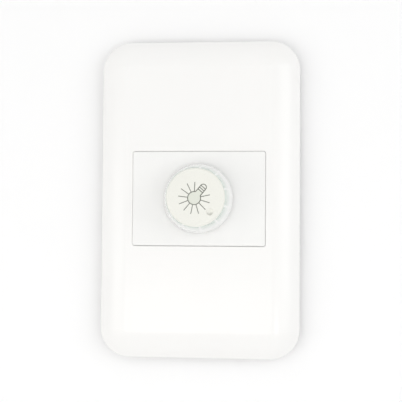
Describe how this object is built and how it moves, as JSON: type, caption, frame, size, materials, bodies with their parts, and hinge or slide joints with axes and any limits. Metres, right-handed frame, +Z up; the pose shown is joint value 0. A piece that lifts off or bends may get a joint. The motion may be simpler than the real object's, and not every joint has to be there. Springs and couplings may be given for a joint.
{
  "type": "rotary wall dimmer",
  "caption": "Upright white wall plate with rounded, sloping borders and a flush oblong module whose clear tapered knob has a white disc with a lit bulb picture and turns to dim.",
  "frame": {"origin": "wall plane, midway between the two box screw slots, on the knob's axis", "axes": "+Z up the plate, +X to the right as seen from the room, +Y into the wall"},
  "size_m": [0.074, 0.0503, 0.118],
  "materials": {
    "white_gloss": "glossy moulded",
    "knob_white": "satin moulded",
    "clear_plastic": "clear polished",
    "frame_plastic": "fine grained",
    "dark_plastic": "fine grained",
    "board_green": "solder mask",
    "phenolic": "laminate",
    "carbon_track": "matt film",
    "plated_steel": "bright zinc plate",
    "aluminium": "satin",
    "brass": "satin",
    "copper_wire": "enamelled",
    "tinned_wire": "tinned",
    "ferrite": "powder coat",
    "triac_black": "moulded",
    "film_yellow": "moulded",
    "fuse_brown": "moulded",
    "capacitor_green": "dipped",
    "resistor_tan": "lacquer",
    "diac_blue": "glass bead",
    "terminal_grey": "moulded"
  },
  "bodies": {
    "base": {"cover_plate": "white_gloss", "support_frame": "frame_plastic", "module_front": "white_gloss", "rear_housing": "dark_plastic", "housing_screws": "plated_steel", "circuit_board": "board_green", "pot_bush": "brass", "pot_washer": "plated_steel", "pot_nut": "plated_steel", "pot_wafer": "phenolic", "pot_track": "carbon_track", "pot_lugs": "tinned_wire", "pot_can": "plated_steel", "terminal_block": "terminal_grey", "terminal_cages": "brass", "terminal_screws": "plated_steel", "heat_sink": "aluminium", "triac_tab": "tinned_wire", "triac_body": "triac_black", "triac_legs": "tinned_wire", "sink_screw": "plated_steel", "choke_core": "ferrite", "choke_winding": "copper_wire", "film_capacitor": "film_yellow", "fuse": "fuse_brown", "timing_capacitor": "capacitor_green", "resistor": "resistor_tan", "diac": "diac_blue", "component_leads": "tinned_wire"},
    "knob": {"knob_skirt": "clear_plastic", "knob_spring": "plated_steel", "knob_inlay": "knob_white", "pot_shaft": "aluminium", "pot_rotor": "triac_black", "pot_wiper": "brass"}
  },
  "joints": [
    {"name": "knob_turn", "type": "hinge", "parent": "base", "child": "knob", "pos_m": [0, 0, 0], "axis": [0, -1, 0], "range_deg": [0, 270]}
  ]
}
